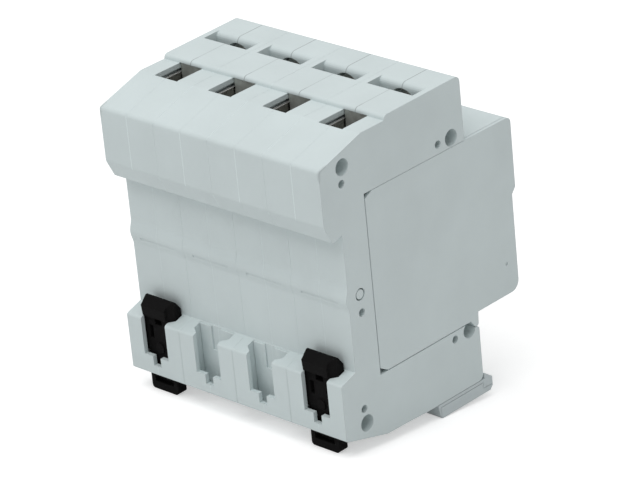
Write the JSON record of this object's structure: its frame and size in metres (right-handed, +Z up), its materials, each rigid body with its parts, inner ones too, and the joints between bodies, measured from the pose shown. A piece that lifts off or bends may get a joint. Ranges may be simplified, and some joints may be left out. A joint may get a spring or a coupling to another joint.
{
  "type": "din rail surge arrester",
  "caption": "Plug-in surge arrester for a top-hat rail: a row of C-shaped bases with pull-out cartridges, cage terminals, sliding rail clips and a comb busbar.",
  "frame": {"origin": "middle of the rail, on the wall that the rail sits against", "axes": "+X along the rail, front towards -Y, +Z up"},
  "size_m": [0.0712, 0.0656, 0.0836],
  "materials": {
    "housing_grey": "fine matt moulded",
    "cartridge_grey": "fine matt moulded",
    "busbar_grey": "extruded, satin",
    "clip_black": "moulded, satin",
    "steel": "zinc plated",
    "copper": "bare copper",
    "tinned_copper": "tinned, dull",
    "varistor_blue": "dipped coating",
    "flag_green": "smooth"
  },
  "bodies": {
    "base": {"base_left_shell_1": "housing_grey", "base_right_shell_1": "housing_grey", "base_left_shell_2": "housing_grey", "base_right_shell_2": "housing_grey", "base_left_shell_3": "housing_grey", "base_right_shell_3": "housing_grey", "base_left_shell_4": "housing_grey", "base_right_shell_4": "housing_grey", "upper_strap_1": "tinned_copper", "lower_strap_1": "tinned_copper", "upper_strap_2": "tinned_copper", "lower_strap_2": "tinned_copper", "upper_strap_3": "tinned_copper", "lower_strap_3": "tinned_copper", "upper_strap_4": "tinned_copper", "lower_strap_4": "tinned_copper", "tie_rivets": "steel", "bus_profile": "busbar_grey", "bus_comb": "copper", "left_bus_cap": "busbar_grey", "right_bus_cap": "busbar_grey"},
    "cartridge_1": {"cartridge_housing_1": "cartridge_grey", "cartridge_lid_1": "cartridge_grey", "varistor_1": "varistor_blue", "contact_blades_1": "copper"},
    "flag_1": {"status_flag_1": "flag_green"},
    "upper_screw_1": {"upper_screw_1": "steel"},
    "upper_cage_1": {"upper_cage_1": "steel"},
    "lower_screw_1": {"lower_screw_1": "steel"},
    "lower_cage_1": {"lower_cage_1": "steel"},
    "cartridge_2": {"cartridge_housing_2": "cartridge_grey", "cartridge_lid_2": "cartridge_grey", "varistor_2": "varistor_blue", "contact_blades_2": "copper"},
    "flag_2": {"status_flag_2": "flag_green"},
    "upper_screw_2": {"upper_screw_2": "steel"},
    "upper_cage_2": {"upper_cage_2": "steel"},
    "lower_screw_2": {"lower_screw_2": "steel"},
    "lower_cage_2": {"lower_cage_2": "steel"},
    "cartridge_3": {"cartridge_housing_3": "cartridge_grey", "cartridge_lid_3": "cartridge_grey", "varistor_3": "varistor_blue", "contact_blades_3": "copper"},
    "flag_3": {"status_flag_3": "flag_green"},
    "upper_screw_3": {"upper_screw_3": "steel"},
    "upper_cage_3": {"upper_cage_3": "steel"},
    "lower_screw_3": {"lower_screw_3": "steel"},
    "lower_cage_3": {"lower_cage_3": "steel"},
    "cartridge_4": {"cartridge_housing_4": "cartridge_grey", "cartridge_lid_4": "cartridge_grey", "varistor_4": "varistor_blue", "contact_blades_4": "copper"},
    "flag_4": {"status_flag_4": "flag_green"},
    "upper_screw_4": {"upper_screw_4": "steel"},
    "upper_cage_4": {"upper_cage_4": "steel"},
    "lower_screw_4": {"lower_screw_4": "steel"},
    "lower_cage_4": {"lower_cage_4": "steel"},
    "clip_1": {"rail_clip_1": "clip_black"},
    "clip_4": {"rail_clip_4": "clip_black"}
  },
  "joints": [
    {"name": "cartridge_pull_1", "type": "slide", "parent": "base", "child": "cartridge_1", "axis": [0, -1, 0], "range_m": [0, 0.046]},
    {"name": "flag_drop_1", "type": "slide", "parent": "cartridge_1", "child": "flag_1", "axis": [0, 0, -1], "range_m": [0, 0.0052]},
    {"name": "upper_screw_turn_1", "type": "hinge", "parent": "base", "child": "upper_screw_1", "pos_m": [0.0267, -0.03, 0.0356], "axis": [0, 1, 0], "range_deg": [0, 3420]},
    {"name": "upper_cage_lift_1", "type": "slide", "parent": "base", "child": "upper_cage_1", "axis": [0, -1, 0], "range_m": [0, 0.0076]},
    {"name": "lower_screw_turn_1", "type": "hinge", "parent": "base", "child": "lower_screw_1", "pos_m": [0.0267, -0.03, -0.0326], "axis": [0, 1, 0], "range_deg": [-1080, 0]},
    {"name": "lower_cage_lift_1", "type": "slide", "parent": "base", "child": "lower_cage_1", "axis": [0, -1, 0], "range_m": [-0.0024, 0]},
    {"name": "cartridge_pull_2", "type": "slide", "parent": "base", "child": "cartridge_2", "axis": [0, -1, 0], "range_m": [0, 0.046]},
    {"name": "flag_drop_2", "type": "slide", "parent": "cartridge_2", "child": "flag_2", "axis": [0, 0, -1], "range_m": [0, 0.0052]},
    {"name": "upper_screw_turn_2", "type": "hinge", "parent": "base", "child": "upper_screw_2", "pos_m": [0.0089, -0.03, 0.0356], "axis": [0, 1, 0], "range_deg": [0, 3420]},
    {"name": "upper_cage_lift_2", "type": "slide", "parent": "base", "child": "upper_cage_2", "axis": [0, -1, 0], "range_m": [0, 0.0076]},
    {"name": "lower_screw_turn_2", "type": "hinge", "parent": "base", "child": "lower_screw_2", "pos_m": [0.0089, -0.03, -0.0326], "axis": [0, 1, 0], "range_deg": [-1080, 0]},
    {"name": "lower_cage_lift_2", "type": "slide", "parent": "base", "child": "lower_cage_2", "axis": [0, -1, 0], "range_m": [-0.0024, 0]},
    {"name": "cartridge_pull_3", "type": "slide", "parent": "base", "child": "cartridge_3", "axis": [0, -1, 0], "range_m": [0, 0.046]},
    {"name": "flag_drop_3", "type": "slide", "parent": "cartridge_3", "child": "flag_3", "axis": [0, 0, -1], "range_m": [0, 0.0052]},
    {"name": "upper_screw_turn_3", "type": "hinge", "parent": "base", "child": "upper_screw_3", "pos_m": [-0.0089, -0.03, 0.0356], "axis": [0, 1, 0], "range_deg": [0, 3420]},
    {"name": "upper_cage_lift_3", "type": "slide", "parent": "base", "child": "upper_cage_3", "axis": [0, -1, 0], "range_m": [0, 0.0076]},
    {"name": "lower_screw_turn_3", "type": "hinge", "parent": "base", "child": "lower_screw_3", "pos_m": [-0.0089, -0.03, -0.0326], "axis": [0, 1, 0], "range_deg": [-1080, 0]},
    {"name": "lower_cage_lift_3", "type": "slide", "parent": "base", "child": "lower_cage_3", "axis": [0, -1, 0], "range_m": [-0.0024, 0]},
    {"name": "cartridge_pull_4", "type": "slide", "parent": "base", "child": "cartridge_4", "axis": [0, -1, 0], "range_m": [0, 0.046]},
    {"name": "flag_drop_4", "type": "slide", "parent": "cartridge_4", "child": "flag_4", "axis": [0, 0, -1], "range_m": [0, 0.0052]},
    {"name": "upper_screw_turn_4", "type": "hinge", "parent": "base", "child": "upper_screw_4", "pos_m": [-0.0267, -0.03, 0.0356], "axis": [0, 1, 0], "range_deg": [0, 3420]},
    {"name": "upper_cage_lift_4", "type": "slide", "parent": "base", "child": "upper_cage_4", "axis": [0, -1, 0], "range_m": [0, 0.0076]},
    {"name": "lower_screw_turn_4", "type": "hinge", "parent": "base", "child": "lower_screw_4", "pos_m": [-0.0267, -0.03, -0.0326], "axis": [0, 1, 0], "range_deg": [-1080, 0]},
    {"name": "lower_cage_lift_4", "type": "slide", "parent": "base", "child": "lower_cage_4", "axis": [0, -1, 0], "range_m": [-0.0024, 0]},
    {"name": "clip_pull_1", "type": "slide", "parent": "base", "child": "clip_1", "axis": [0, 0, -1], "range_m": [0, 0.0045]},
    {"name": "clip_pull_4", "type": "slide", "parent": "base", "child": "clip_4", "axis": [0, 0, -1], "range_m": [0, 0.0045]}
  ],
  "couplings": [
    {"joint": "upper_screw_turn_1", "follows": "upper_cage_lift_1", "rad_per_m": 7854},
    {"joint": "lower_screw_turn_1", "follows": "lower_cage_lift_1", "rad_per_m": 7854},
    {"joint": "upper_screw_turn_2", "follows": "upper_cage_lift_2", "rad_per_m": 7854},
    {"joint": "lower_screw_turn_2", "follows": "lower_cage_lift_2", "rad_per_m": 7854},
    {"joint": "upper_screw_turn_3", "follows": "upper_cage_lift_3", "rad_per_m": 7854},
    {"joint": "lower_screw_turn_3", "follows": "lower_cage_lift_3", "rad_per_m": 7854},
    {"joint": "upper_screw_turn_4", "follows": "upper_cage_lift_4", "rad_per_m": 7854},
    {"joint": "lower_screw_turn_4", "follows": "lower_cage_lift_4", "rad_per_m": 7854}
  ]
}
